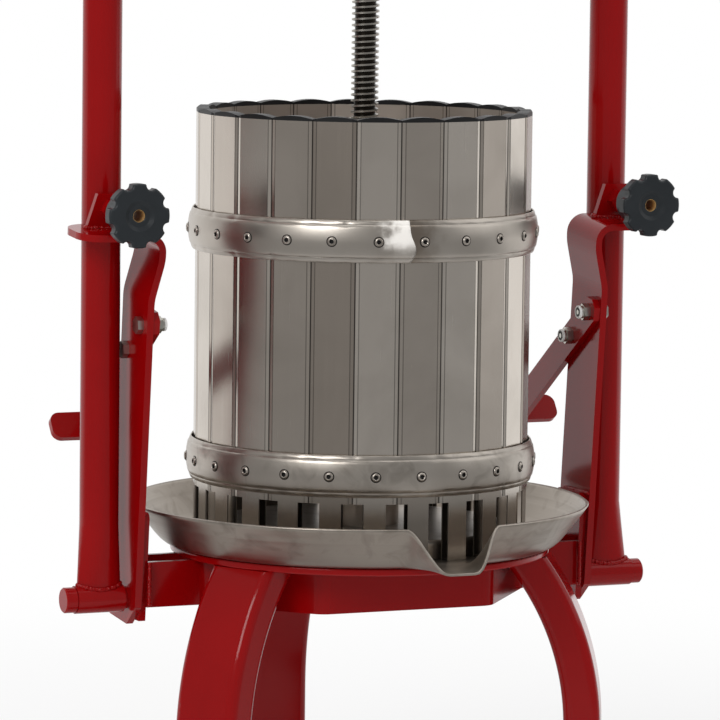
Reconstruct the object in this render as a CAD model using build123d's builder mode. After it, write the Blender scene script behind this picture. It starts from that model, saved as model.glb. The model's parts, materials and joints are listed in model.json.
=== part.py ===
# Tilt-back fruit press: slatted basket, juice tray, three-legged stand and a screw gantry that swings back.
# Millimetres. The origin is on the floor under the screw axis, +Z is up and the spout points to -Y.
import os
from math import atan2, cos, degrees, hypot, pi, radians, sin, sqrt, tan

from build123d import *

os.makedirs("parts", exist_ok=True)

# Basket
basket_radius = 146.0
basket_height = 373.0
basket_turn = -3.9
slat_count = 24
slat_gap = 0.4
slat_depth = 10.0
slat_sheet = 1.2
slat_bevel = 3.6
slat_bevel_depth = 1.2
slot_width = 9.5
slot_height = 50.0
cap_rise = 1.6
cap_arch = 2.6
cap_plug = 14.0
cap_play = 0.1
hoop_height = 36.0
hoop_sheet = 1.5
hoop_bulge = 4.4
hoop_turn = 2.4
hoop_lip = 4.0
hoop_play = 0.15
lower_hoop_rise = 56.0
upper_hoop_rise = 255.0
rivet_radius = 4.2
rivet_head = 1.6
rivet_shank_radius = 2.0

# Juice tray and spout
tray_sheet = 2.0
tray_gap = 24.0
tray_flare = 28.5
tray_height = 38.7
tray_corner = 22.0
basket_seat = 0.2
spout_half_mouth = 38.0
spout_half_floor = 16.0
spout_half_lip = 13.0
spout_lip_flare = 3.5
spout_lip_height = 7.0
spout_round = 7.0
spout_overlap = 14.0

# Base plate and bent bands
plate_inset = 5.0
plate_thick = 6.0
plate_under = 250.0
band_thick = 6.0
band_height = 39.0
band_inset = 62.0
band_flat_half = 78.0
band_wing_inset = 61.0
band_bend = 14.0
wing_inset = 4.0

# Straps that carry the lock forks
strap_gap = 12.5
strap_thick = 6.0
strap_width = 58.0
strap_lean = 5.4
strap_rise = 317.0
strap_drop = 22.0
strap_offset = 8.2
strap_clip = 18.0
joggle = 8.5
joggle_start = 54.0
joggle_end = 20.0
joggle_bend = 42.0
flange_bend = 13.0
flange_reach = 37.0
flange_round = 21.0
side_plate_thick = 6.0
side_plate_height = 82.5
side_plate_drop = 12.0

# Lock plates, weld nuts and star knobs
lock_thick = 6.0
lock_half_foot = 22.5
lock_half_top = 12.5
lock_height = 29.0
lock_set_forward = 1.0
stud_rise = 14.5
stud_radius = 5.0
stud_tip_gap = 1.2
stud_seat = 22.0
weld_nut_across = 19.0
weld_nut_height = 9.0
thread_play = 0.05
knob_radius = 27.2
knob_lobes = 8
knob_scallop = 4.5
knob_scallop_out = 0.8
knob_head = 10.5
knob_edge = 2.4
knob_dish_radius = 13.0
knob_dish = 2.0
knob_dish_taper = 60.0
knob_hub_radius = 17.0
knob_hub = 25.5
knob_stand_off = 73.8
insert_radius = 5.9
insert_recess = 1.0

# Pivot
pivot_drop = 32.0
pivot_y = 2.0
pin_radius = 8.0
pin_play = 0.05
pin_head_radius = 11.0
pin_head = 10.0
pin_tail = 2.0
pivot_tube_radius = 12.0
pivot_tube_length = 43.0
pivot_end_gap = 0.4
washer_radius = 9.6
washer_thick = 4.0

# Tilt stop arms
arm_width = 25.0
arm_thick = 6.0
arm_slope = 35.5
arm_centre_rise = 225.2
arm_centre_ahead = 13.0
arm_up = 34.0
arm_down = 158.0
arm_tab = 33.5
arm_tab_round = 8.5
arm_clip = 8.0
arm_bolt_pitch = 41.3
bolt_radius = 4.0
bolt_head_across = 13.0
bolt_head = 5.3
nut_height = 5.5
collar_radius = 5.7
collar_height = 2.6
bolt_end = 1.2

# Gantry
upright_radius = 16.85
upright_wall = 3.0
upright_gap = 5.8
upright_y = 9.6
fork_play = 1.0
flat_start = 64.0
flat_half_width = 20.3
flat_half_depth = 7.5
flat_shift = 2.8
lock_hole_radius = 6.5
beam_clearance = 126.0
beam_height = 64.0
beam_depth = 56.0
beam_wall = 4.0
beam_corner = 6.0
beam_overhang = 8.0
beam_y = 5.0
beam_cap = 3.0
nut_radius = 20.0
nut_flange_radius = 27.0
nut_flange = 8.0
nut_top = 6.0

# Screw, handle and thrust foot
screw_radius = 12.0
screw_pitch = 5.0
screw_play = 0.05
screw_travel_down = 250.0
foot_radius = 20.0
foot_height = 18.0
foot_below_rim = 9.0
foot_edge = 2.0
journal_radius = 7.0
journal_length = 12.0
hub_radius = 22.0
hub_height = 42.0
hub_edge = 3.0
hub_park = 6.0
hub_socket = 12.0
bar_radius = 9.0
bar_length = 420.0
grip_radius = 15.0
grip_length = 105.0
grip_depth = 92.0
grip_edge = 5.0

# Press plate
press_play = 4.0
press_thick = 4.0
press_skirt = 16.0
press_boss_radius = 34.0
press_boss = 22.0
press_edge = 2.0

# Legs and feet
leg_width = 64.0
leg_depth = 32.0
leg_wall = 2.5
leg_corner = 8.0
leg_front_angle = 62.0
leg_slope = 36.0
leg_out = 48.5
leg_lap = 8.0
shoe_height = 30.0
shoe_floor = 4.0
shoe_proud = 2.0

# Levels worked out from the values above
plate_top = plate_under + plate_thick
tray_floor = plate_top + tray_sheet
basket_bottom = tray_floor + basket_seat
basket_top = basket_bottom + basket_height
rim_top = basket_top + cap_rise + cap_arch
pivot_z = plate_under - pivot_drop
band_bottom = plate_under - band_height
beam_under = rim_top + beam_clearance
beam_top = beam_under + beam_height
foot_bottom = rim_top - foot_below_rim - foot_height
hub_bottom = beam_top + nut_top + screw_travel_down + hub_park

# Places worked out from the values above
half_step = pi / slat_count
slat_apothem = basket_radius * cos(half_step)
slat_width = 2 * basket_radius * sin(half_step) - slat_gap
hoop_radius = basket_radius + hoop_play
tray_radius = basket_radius + tray_gap
tray_rim = tray_radius + tray_flare
plate_radius = tray_radius - plate_inset
leg_reach = plate_radius + leg_out
spout_tip = leg_reach + shoe_proud
strap_in = tray_rim + strap_gap
strap_mid = strap_in + strap_thick / 2
strap_out = strap_in + strap_thick
side_plate_in = strap_in - side_plate_thick
upright_x = strap_out + upright_gap + upright_radius
band_front = plate_radius - band_inset
lean = radians(strap_lean)
strap_up = Vector(0, -sin(lean), cos(lean))
strap_across = Vector(0, cos(lean), sin(lean))
strap_foot = Vector(0, pivot_y + strap_offset, pivot_z)
flange_top = strap_foot + strap_up * (strap_rise + strap_thick / 2)
fork_radius = upright_radius + fork_play
lock_back = upright_y - fork_radius - lock_set_forward
lock_front = lock_back - lock_thick
stud_z = flange_top.Z + tan(lean) * (lock_back - flange_top.Y) + stud_rise
knob_face = upright_y - upright_radius - knob_stand_off
knob_back = knob_face + knob_head + knob_hub
sides = {"left": -1, "right": 1}


def save(piece, name):
    piece.part.label = name
    export_step(piece.part, f"parts/{name}.step")


def strap_y(level):
    """Centre of the leaning strap at a height above the floor."""
    return strap_foot.Y - tan(lean) * (level - strap_foot.Z)


def half_channel(depth, skin):
    """Half width of a slat at a depth behind its face, less a skin on the folded side."""
    return slat_width / 2 - depth * tan(half_step) - skin / cos(half_step)


# Slat outline and its hollow: sheet folded into a closed flat tube with both front edges bevelled
face_y = -slat_apothem
back_y = face_y + slat_depth
with BuildSketch() as slat_outline:
    shoulder = half_channel(0, 0) - slat_bevel
    edge = half_channel(slat_bevel_depth, 0)
    tight = half_channel(slat_depth, 0)
    edge_y = face_y + slat_bevel_depth
    Polygon((-edge, edge_y), (-shoulder, face_y), (shoulder, face_y), (edge, edge_y), (tight, back_y),
            (-tight, back_y), align=None)
with BuildSketch() as slat_hollow:
    offset(slat_outline.sketch, amount=-slat_sheet)
with BuildSketch() as cap_plug_outline:
    offset(slat_outline.sketch, amount=-slat_sheet - cap_play)

# Slats: each with a drain slot cut from both lower corners
with BuildPart() as slat:
    with BuildSketch(Plane.XY.offset(basket_bottom)):
        add(slat_outline.sketch)
        add(slat_hollow.sketch, mode=Mode.SUBTRACT)
    extrude(amount=basket_height)
    with Locations((0, -slat_apothem, basket_bottom)):
        with GridLocations(slat_width, 0, 2, 1):
            Box(2 * slot_width, 4 * slat_depth, 2 * slot_height, mode=Mode.SUBTRACT)

with BuildPart() as slats:
    with PolarLocations(0, slat_count, start_angle=basket_turn):
        add(slat.part)
save(slats, "slats")

# Slat caps: an arched top over a plug that fills the tube
with BuildPart() as cap:
    with BuildSketch(Plane.XY.offset(basket_top)):
        add(slat_outline.sketch)
    extrude(amount=cap_rise + cap_arch)
    with BuildSketch(Plane.XZ):
        with BuildLine():
            low = basket_top + cap_rise
            high = low + cap_arch
            crown = ThreePointArc((-slat_width / 2, low), (0, high), (slat_width / 2, low))
            Polyline(crown @ 1, (slat_width / 2, high + cap_arch), (-slat_width / 2, high + cap_arch), crown @ 0)
        make_face()
    extrude(amount=2 * basket_radius, mode=Mode.SUBTRACT)
    with BuildSketch(Plane.XY.offset(basket_top)):
        add(cap_plug_outline.sketch)
    extrude(amount=-cap_plug)

with BuildPart() as slat_caps:
    with PolarLocations(0, slat_count, start_angle=basket_turn):
        add(cap.part)
save(slat_caps, "slat_caps")

# Hoops: pressed bands, crowned, with both edges turned in to the slats
hoop_rises = {"lower": lower_hoop_rise, "upper": upper_hoop_rise}
for level, rise in hoop_rises.items():
    hoop_low = basket_bottom + rise
    hoop_mid = hoop_low + hoop_height / 2
    hoop_high = hoop_low + hoop_height
    with BuildPart() as hoop:
        with BuildSketch(Plane.XZ):
            with BuildLine():
                skin_in = hoop_radius
                skin_out = hoop_radius + hoop_sheet
                bend_in = skin_in + hoop_turn
                bend_out = skin_out + hoop_turn
                a = Line((skin_in, hoop_low), (bend_in, hoop_low + hoop_lip))
                b = ThreePointArc(a @ 1, (skin_in + hoop_bulge, hoop_mid), (bend_in, hoop_high - hoop_lip))
                c = Polyline(b @ 1, (skin_in, hoop_high), (skin_out, hoop_high), (bend_out, hoop_high - hoop_lip))
                d = ThreePointArc(c @ 1, (skin_out + hoop_bulge, hoop_mid), (bend_out, hoop_low + hoop_lip))
                Polyline(d @ 1, (skin_out, hoop_low), a @ 0)
            make_face()
        revolve(axis=Axis.Z)
        with PolarLocations(0, slat_count, start_angle=basket_turn - 90):
            with Locations(Location((hoop_radius, 0, hoop_mid), (0, 90, 0))):
                Cylinder(rivet_shank_radius, 4 * hoop_bulge, mode=Mode.SUBTRACT)
    save(hoop, f"hoop_{level}")

    # Rivets: one through the middle of every slat
    with BuildPart() as rivets:
        with PolarLocations(0, slat_count, start_angle=basket_turn - 90):
            with Locations(Location((slat_apothem, 0, hoop_mid), (0, 90, 0))):
                shank = hoop_radius + hoop_sheet + hoop_bulge - slat_apothem
                Cylinder(rivet_shank_radius, shank, align=(Align.CENTER, Align.CENTER, Align.MIN))
            with Locations(Location((slat_apothem + shank, 0, hoop_mid), (0, 90, 0))):
                Cone(rivet_radius, rivet_radius / 2, rivet_head, align=(Align.CENTER, Align.CENTER, Align.MIN))
    save(rivets, f"rivets_{level}")

# Juice tray: a dished pan opened at the front by a drawn spout
with BuildPart() as tray:
    with BuildSketch(Plane.XZ):
        with BuildLine():
            floor_edge = FilletPolyline((0, plate_top), (tray_radius, plate_top),
                                        (tray_rim, plate_top + tray_height), radius=tray_corner)
            rise_angle = atan2(tray_height, tray_flare)
            wall_x = tray_sheet / sin(rise_angle)
            inner_foot = tray_radius - wall_x + tray_sheet / tan(rise_angle)
            inner_edge = FilletPolyline((tray_rim - wall_x, plate_top + tray_height), (inner_foot, tray_floor),
                                        (0, tray_floor), radius=tray_corner - tray_sheet)
            Line(floor_edge @ 1, inner_edge @ 0)
            Line(inner_edge @ 1, floor_edge @ 0)
        make_face()
    revolve(axis=Axis.Z)

spout_root = tray_radius - spout_overlap
tray_rim_top = plate_top + tray_height
lip_top = plate_top + spout_lip_height
thin = tray_sheet
back_off = (tray_rim - spout_root) / (spout_tip - tray_rim)
root_top = tray_rim_top + back_off * (tray_rim_top - lip_top)
root_half_top = spout_half_mouth + back_off * (spout_half_mouth - spout_half_lip)
root_half_floor = spout_half_floor + back_off * (spout_half_floor - spout_half_lip)
spout_shells = []
for skin in (0, thin):
    with BuildPart() as spout_shell:
        with BuildSketch(Plane.XZ.offset(spout_root - skin)):
            low, high = plate_top + skin, root_top + skin
            half_floor, half_top = root_half_floor - skin, root_half_top - skin
            Polygon((-half_floor, low), (half_floor, low), (half_top, high), (-half_top, high), align=None)
        with BuildSketch(Plane.XZ.offset(spout_tip + skin)):
            low, high = plate_top + skin, lip_top + skin
            half_floor, half_top = spout_half_lip - skin, spout_half_lip + spout_lip_flare - skin
            Polygon((-half_floor, low), (half_floor, low), (half_top, high), (-half_top, high), align=None)
        loft(ruled=True)
        keel = spout_shell.edges().filter_by(lambda e: abs((e % 0.5).Y) > 0.5).group_by(Axis.Z)[0]
        fillet(keel, spout_round - skin)
    spout_shells.append(spout_shell.part)
spout_outer, spout_inner = spout_shells
with BuildPart() as pan_inside:
    with BuildSketch(Plane.XZ):
        Polygon((0, tray_floor), (inner_foot, tray_floor), (tray_rim - wall_x, tray_rim_top),
                (tray_rim - wall_x, tray_rim_top + thin), (0, tray_rim_top + thin), align=None)
    revolve(axis=Axis.Z)
with BuildPart() as tray_whole:
    add(spout_outer)
    add(pan_inside.part, mode=Mode.SUBTRACT)
    with Locations((0, 0, tray_rim_top)):
        Box(4 * tray_rim, 4 * tray_rim, root_top, align=(Align.CENTER, Align.CENTER, Align.MIN), mode=Mode.SUBTRACT)
    add(tray.part)
    add(spout_inner, mode=Mode.SUBTRACT)
save(tray_whole, "tray")

# Base plate under the tray
with BuildPart() as base_plate:
    with BuildSketch(Plane.XY.offset(plate_under)):
        Circle(plate_radius)
    extrude(amount=plate_thick)
    fillet(base_plate.edges(), plate_thick / 4)
save(base_plate, "base_plate")

# Bent bands: wings from the side plates, diagonals and a straight run, in front and behind
wing_level = plate_under - band_height / 2
wing_places = {
    "front_band": strap_y(wing_level) - strap_width / 2 + wing_inset,
    "rear_band": strap_y(wing_level) + strap_width / 2 - wing_inset,
}
band_wing_x = strap_in - band_wing_inset
band_planes = {}
for name, wing_y in wing_places.items():
    way = -1 if wing_y < strap_y(wing_level) else 1
    wing_mid = wing_y - way * band_thick / 2
    run_mid = way * (band_front - band_thick / 2)
    with BuildPart() as band:
        with BuildLine():
            run = FilletPolyline((-side_plate_in, wing_mid), (-band_wing_x, wing_mid), (-band_flat_half, run_mid),
                                 (band_flat_half, run_mid), (band_wing_x, wing_mid), (side_plate_in, wing_mid),
                                 radius=band_bend)
        with BuildSketch(Plane(run @ 0, x_dir=(0, 1, 0), z_dir=(1, 0, 0))):
            with Locations((0, band_bottom)):
                Rectangle(band_thick, band_height, align=(Align.CENTER, Align.MIN))
        sweep(path=run)
    save(band, name)
    if way < 0:
        slant = Vector(band_flat_half - band_wing_x, run_mid - wing_mid).normalized()
        for side, sign in sides.items():
            outward = Vector(-sign * slant.Y, slant.X, 0)
            face = Vector(sign * band_wing_x, wing_mid, 0) + outward * (band_thick / 2)
            band_planes[f"front_{side}"] = Plane(face, z_dir=outward)

# Straps, side plates, lock plates and pivots, one of each on either side
lock_nuts = BuildPart()
pivot_washers = BuildPart()
arm_bolts = BuildPart()
arm_nuts = BuildPart()
tube_in = strap_out + washer_thick + pivot_end_gap
grip_below = nut_height + collar_height + bolt_end
tube_out = tube_in + pivot_tube_length
arm_axis = Vector(0, cos(radians(arm_slope)), -sin(radians(arm_slope)))
arm_over = Vector(0, sin(radians(arm_slope)), cos(radians(arm_slope)))
arm_centre = Vector(0, pivot_y - arm_centre_ahead, pivot_z + arm_centre_rise)
arm_bolt_places = [arm_centre + arm_axis * (step * arm_bolt_pitch) for step in (-0.5, 0.5)]
for side, sign in sides.items():
    pivot_plane = Plane((0, pivot_y, pivot_z), x_dir=(0, 1, 0), z_dir=(sign, 0, 0))

    with BuildPart() as strap:
        strap_plane = Plane(strap_foot, x_dir=(1, 0, 0), z_dir=-strap_across)
        with BuildLine(strap_plane):
            joggled = strap_mid - joggle
            reach = upright_x + flange_reach
            bends = FilletPolyline(
                (sign * strap_mid, -strap_drop),
                (sign * strap_mid, strap_rise - joggle_start),
                (sign * joggled, strap_rise - joggle_end),
                (sign * joggled, strap_rise),
                (sign * reach, strap_rise),
                radius=[joggle_bend, joggle_bend, flange_bend],
            )
        with BuildSketch(Plane(bends @ 0, x_dir=(1, 0, 0), z_dir=strap_up)):
            Rectangle(strap_thick, strap_width)
        sweep(path=bends)
        tips = strap.edges().filter_by(lambda e: abs((e % 0.5).dot(strap_up)) > 0.99)
        fillet(tips.sort_by(lambda e: sign * (e @ 0.5).X)[-2:], flange_round)
        heel = strap.edges().filter_by(Axis.X).group_by(Axis.Z)[0]
        chamfer(heel.sort_by(Axis.Y)[-1], strap_clip)
        with BuildSketch(Plane.XY.offset(flange_top.Z)):
            with Locations((sign * upright_x, upright_y)):
                Circle(fork_radius)
                Rectangle(2 * fork_radius, strap_width, align=(Align.CENTER, Align.MIN))
        extrude(amount=strap_width / 2, both=True, mode=Mode.SUBTRACT)
        with BuildSketch(pivot_plane):
            Circle(pin_radius)
        extrude(amount=strap_out + strap_thick, mode=Mode.SUBTRACT)
        for bolt_at in arm_bolt_places:
            with BuildSketch(Plane(bolt_at, z_dir=(sign, 0, 0))):
                Circle(bolt_radius)
            extrude(amount=strap_out + strap_thick, mode=Mode.SUBTRACT)
    save(strap, f"strap_{side}")

    with BuildPart() as side_plate:
        foot_z = band_bottom - side_plate_drop
        foot_y = strap_y(foot_z)
        low_y = strap_width / 2 - strap_clip / 4
        top_y = strap_y(band_bottom + side_plate_height)
        with BuildSketch(Plane((sign * side_plate_in, 0, 0), x_dir=(0, 1, 0), z_dir=(1, 0, 0))):
            Polygon((foot_y - low_y, foot_z), (foot_y + low_y, foot_z),
                    (top_y + low_y, band_bottom + side_plate_height),
                    (top_y - low_y, band_bottom + side_plate_height), align=None)
        extrude(amount=sign * side_plate_thick)
        fillet(side_plate.edges().filter_by(Axis.X).group_by(Axis.Z)[-1], side_plate_thick)
        with BuildSketch(pivot_plane):
            Circle(pin_radius)
        extrude(amount=strap_out, mode=Mode.SUBTRACT)
    save(side_plate, f"side_plate_{side}")

    with BuildPart() as lock_plate:
        with BuildSketch(Plane.XZ.offset(-lock_back)):
            lock_x = sign * upright_x
            lock_seat = stud_z - stud_rise
            lock_top = lock_seat + lock_height
            lock_low = flange_top.Z - strap_width
            Polygon((lock_x - lock_half_foot, lock_low), (lock_x + lock_half_foot, lock_low),
                    (lock_x + lock_half_foot, lock_seat), (lock_x + lock_half_top, lock_top),
                    (lock_x - lock_half_top, lock_top), (lock_x - lock_half_foot, lock_seat), align=None)
        extrude(amount=lock_thick)
        with Locations(Location((sign * upright_x, lock_back, stud_z), (90, 0, 0))):
            Cylinder(stud_radius + thread_play, 4 * lock_thick, mode=Mode.SUBTRACT)
        split(bisect_by=Plane(flange_top, z_dir=strap_up), keep=Keep.TOP)
    save(lock_plate, f"lock_plate_{side}")

    with lock_nuts:
        with BuildSketch(Plane.XZ.offset(-lock_front)):
            with Locations((sign * upright_x, stud_z)):
                RegularPolygon(weld_nut_across / 2, 6, major_radius=False)
                Circle(stud_radius + thread_play, mode=Mode.SUBTRACT)
        extrude(amount=weld_nut_height)

    with BuildPart() as pivot_pin:
        with BuildSketch(pivot_plane.offset(side_plate_in - pin_tail)):
            Circle(pin_radius)
        extrude(amount=tube_out + pivot_end_gap + pin_head / 2 - side_plate_in + pin_tail)
        with BuildSketch(pivot_plane.offset(tube_out + pivot_end_gap)):
            Circle(pin_head_radius)
        extrude(amount=pin_head)
        chamfer(pivot_pin.edges().group_by(Axis.X)[-1 if sign > 0 else 0], pin_head / 10)
    save(pivot_pin, f"pivot_pin_{side}")

    with pivot_washers:
        with BuildSketch(pivot_plane.offset(strap_out)):
            Circle(washer_radius)
            Circle(pin_radius, mode=Mode.SUBTRACT)
        extrude(amount=washer_thick)

    with BuildPart() as arm:
        arm_face = strap_in - arm_thick
        arm_plane = Plane(arm_centre + Vector(sign * arm_face, 0, 0), x_dir=arm_axis, z_dir=(1, 0, 0))
        with BuildSketch(arm_plane):
            with Locations((-arm_up, 0)):
                Rectangle(arm_up + arm_down, arm_width, align=(Align.MIN, Align.CENTER))
        extrude(amount=sign * arm_thick)
        tab_plane = Plane(arm_centre + arm_axis * arm_down + Vector(sign * arm_face, 0, 0), x_dir=(sign, 0, 0),
                          z_dir=-arm_axis)
        with BuildSketch(tab_plane):
            Rectangle(arm_thick + arm_tab, arm_width, align=(Align.MIN, Align.CENTER))
        extrude(amount=arm_thick)
        along = arm.edges().filter_by(lambda e: abs((e % 0.5).dot(arm_axis)) > 0.99)
        fillet(along.sort_by(lambda e: sign * (e @ 0.5).X)[-2:], arm_tab_round)
        nose = arm.edges().filter_by(Axis.X).sort_by(lambda e: (e @ 0.5).dot(arm_axis))[:2]
        chamfer(nose, arm_clip)
        for bolt_at in arm_bolt_places:
            with BuildSketch(Plane(bolt_at, z_dir=(sign, 0, 0))):
                Circle(bolt_radius)
            extrude(amount=strap_out + strap_thick, mode=Mode.SUBTRACT)
    save(arm, f"tilt_arm_{side}")

    for bolt_at in arm_bolt_places:
        bolt_plane = Plane(bolt_at, x_dir=arm_axis, z_dir=(sign, 0, 0))
        with arm_bolts:
            with BuildSketch(bolt_plane.offset(arm_face - grip_below)):
                Circle(bolt_radius)
            extrude(amount=arm_thick + strap_thick + grip_below)
            with BuildSketch(bolt_plane.offset(strap_out)):
                RegularPolygon(bolt_head_across / 2, 6, major_radius=False)
            extrude(amount=bolt_head)
        with arm_nuts:
            with BuildSketch(bolt_plane.offset(arm_face)):
                RegularPolygon(bolt_head_across / 2, 6, major_radius=False)
                Circle(bolt_radius, mode=Mode.SUBTRACT)
            extrude(amount=-nut_height)
            with BuildSketch(bolt_plane.offset(arm_face - nut_height)):
                Circle(collar_radius)
                Circle(bolt_radius, mode=Mode.SUBTRACT)
            extrude(amount=-collar_height)

save(lock_nuts, "lock_nuts")
save(pivot_washers, "pivot_washers")
save(arm_bolts, "arm_bolts")
save(arm_nuts, "arm_nuts")

# Star knobs with a brass insert and a threaded stud
for side, sign in sides.items():
    knob_plane = Plane((sign * upright_x, knob_face, stud_z), x_dir=(1, 0, 0), z_dir=(0, 1, 0))
    with BuildPart() as knob:
        with BuildSketch(knob_plane) as star:
            Circle(knob_radius)
            with PolarLocations(knob_radius + knob_scallop_out, knob_lobes, start_angle=180 / knob_lobes):
                Circle(knob_scallop, mode=Mode.SUBTRACT)
            fillet(star.vertices(), knob_edge / 2)
        extrude(amount=knob_head)
        fillet(knob.faces().sort_by(Axis.Y)[0].edges(), knob_edge)
        with BuildSketch(knob_plane.offset(knob_head)):
            Circle(knob_hub_radius)
        extrude(amount=knob_hub)
        with BuildSketch(knob_plane):
            Circle(insert_radius)
        extrude(amount=knob_head + knob_hub, mode=Mode.SUBTRACT)
        with BuildSketch(knob_plane):
            Circle(knob_dish_radius)
        extrude(amount=knob_dish, taper=knob_dish_taper, mode=Mode.SUBTRACT)
    save(knob, f"knob_{side}")

    with BuildPart() as insert:
        insert_start = knob_dish + insert_recess
        with BuildSketch(knob_plane.offset(insert_start)):
            Circle(insert_radius)
            Circle(stud_radius, mode=Mode.SUBTRACT)
        extrude(amount=knob_head + knob_hub - insert_start)
    save(insert, f"knob_insert_{side}")

    with BuildPart() as stud:
        stud_tip = upright_y - upright_radius - stud_tip_gap
        with BuildSketch(knob_plane.offset(stud_seat)):
            Circle(stud_radius)
        extrude(amount=stud_tip - knob_face - stud_seat)
        chamfer(stud.edges().group_by(Axis.Y)[-1], stud_radius / 4)
    save(stud, f"knob_stud_{side}")

# Legs: rectangular tube, curving from the plate's slope to upright, standing in moulded shoes
leg_places = {"front_left": -90 - leg_front_angle, "front_right": -90 + leg_front_angle, "rear": 90.0}
leg_bend = leg_out / (1 - cos(radians(leg_slope)))
bend_r = leg_reach - leg_bend
bend_z = plate_under - leg_bend * sin(radians(leg_slope))
leg_mid = leg_bend - leg_depth / 2
for place, angle in leg_places.items():
    outward = Vector(cos(radians(angle)), sin(radians(angle)), 0)
    tangent = Vector(-outward.Y, outward.X, 0)
    with BuildPart() as leg:
        with BuildLine(Plane((0, 0, 0), x_dir=outward, z_dir=-tangent)):
            curve = CenterArc((bend_r, bend_z), leg_mid, leg_slope + leg_lap, -leg_slope - leg_lap)
            shin = Line((bend_r + leg_mid, bend_z), (bend_r + leg_mid, shoe_floor))
        with BuildSketch(Plane(curve @ 0, x_dir=tangent, z_dir=curve % 0)):
            RectangleRounded(leg_width, leg_depth, leg_corner)
            RectangleRounded(leg_width - 2 * leg_wall, leg_depth - 2 * leg_wall, leg_corner - leg_wall,
                             mode=Mode.SUBTRACT)
        sweep()
        split(bisect_by=Plane.XY.offset(plate_under), keep=Keep.BOTTOM)
        if place in band_planes:
            split(bisect_by=band_planes[place], keep=Keep.TOP)
    save(leg, f"leg_{place}")

    with BuildPart() as shoe:
        with BuildSketch(Plane((0, 0, 0), x_dir=tangent, z_dir=(0, 0, 1))):
            with Locations((0, -bend_r - leg_mid)):
                RectangleRounded(leg_width + 2 * shoe_proud, leg_depth + 2 * shoe_proud, leg_corner + shoe_proud)
        extrude(amount=shoe_height)
        with BuildSketch(Plane((0, 0, shoe_floor), x_dir=tangent, z_dir=(0, 0, 1))):
            with Locations((0, -bend_r - leg_mid)):
                RectangleRounded(leg_width, leg_depth, leg_corner)
        extrude(amount=shoe_height, mode=Mode.SUBTRACT)
    save(shoe, f"shoe_{place}")

# Gantry uprights: tubes flattened at the bottom and coped over the pivot tubes
for side, sign in sides.items():
    pivot_plane = Plane((0, pivot_y, pivot_z), x_dir=(0, 1, 0), z_dir=(sign, 0, 0))
    with BuildPart() as upright:
        with BuildSketch(Plane.XY.offset(pivot_z + flat_start)):
            with Locations((sign * upright_x, upright_y)):
                Circle(upright_radius)
        with BuildSketch(Plane.XY.offset(pivot_z)):
            with Locations((sign * (upright_x + flat_shift), pivot_y)):
                Ellipse(flat_half_width, flat_half_depth)
        loft()
        with BuildSketch(Plane.XY.offset(pivot_z + flat_start)):
            with Locations((sign * upright_x, upright_y)):
                Circle(upright_radius)
                Circle(upright_radius - upright_wall, mode=Mode.SUBTRACT)
        extrude(amount=beam_under - pivot_z - flat_start)
        with BuildSketch(pivot_plane):
            Circle(pivot_tube_radius)
        extrude(amount=2 * upright_x, mode=Mode.SUBTRACT)
        split(bisect_by=Plane.XY.offset(pivot_z), keep=Keep.TOP)
        with Locations(Location((sign * upright_x, upright_y - upright_radius, stud_z), (90, 0, 0))):
            Cylinder(lock_hole_radius, upright_radius, mode=Mode.SUBTRACT)
    save(upright, f"upright_{side}")

    with BuildPart() as pivot_tube:
        with BuildSketch(pivot_plane.offset(tube_in)):
            Circle(pivot_tube_radius)
            Circle(pin_radius + pin_play, mode=Mode.SUBTRACT)
        extrude(amount=pivot_tube_length)
    save(pivot_tube, f"pivot_tube_{side}")

# Crossbeam, its end caps and the screw nut
beam_half = upright_x + upright_radius + beam_overhang
with BuildPart() as crossbeam:
    with BuildSketch(Plane((-beam_half, beam_y, beam_under + beam_height / 2), x_dir=(0, 1, 0), z_dir=(1, 0, 0))):
        RectangleRounded(beam_depth, beam_height, beam_corner)
        RectangleRounded(beam_depth - 2 * beam_wall, beam_height - 2 * beam_wall, beam_corner - beam_wall,
                         mode=Mode.SUBTRACT)
    extrude(amount=2 * beam_half)
    with Locations((0, 0, beam_under)):
        Cylinder(nut_radius, 4 * beam_height, mode=Mode.SUBTRACT)
save(crossbeam, "crossbeam")

with BuildPart() as crossbeam_caps:
    for sign in sides.values():
        cap_plane = Plane((sign * beam_half, beam_y, beam_under + beam_height / 2), x_dir=(0, 1, 0),
                          z_dir=(sign, 0, 0))
        with BuildSketch(cap_plane):
            RectangleRounded(beam_depth, beam_height, beam_corner)
        extrude(amount=beam_cap)
save(crossbeam_caps, "crossbeam_caps")

with BuildPart() as screw_nut:
    with BuildSketch(Plane.XY.offset(beam_under - nut_flange)):
        Circle(nut_flange_radius)
    extrude(amount=nut_flange)
    chamfer(screw_nut.edges().group_by(Axis.Z)[0], nut_flange / 5)
    with BuildSketch(Plane.XY.offset(beam_under)):
        Circle(nut_radius)
    extrude(amount=beam_height + nut_top)
    with Locations((0, 0, beam_under)):
        Cylinder(screw_radius + screw_play, 4 * beam_height, mode=Mode.SUBTRACT)
save(screw_nut, "screw_nut")

# Screw with its journal, handle hub, bar and grips
foot_top = foot_bottom + foot_height
with BuildPart() as screw:
    with BuildSketch(Plane.XY.offset(foot_top - journal_length)):
        Circle(journal_radius)
    extrude(amount=journal_length)
    with BuildSketch(Plane.XY.offset(foot_top + pivot_end_gap)):
        Circle(screw_radius)
    extrude(amount=hub_bottom + hub_socket - foot_top - pivot_end_gap)
    with BuildSketch(Plane.XY.offset(foot_top)):
        Circle(journal_radius)
    extrude(amount=pivot_end_gap)
save(screw, "screw")

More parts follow.
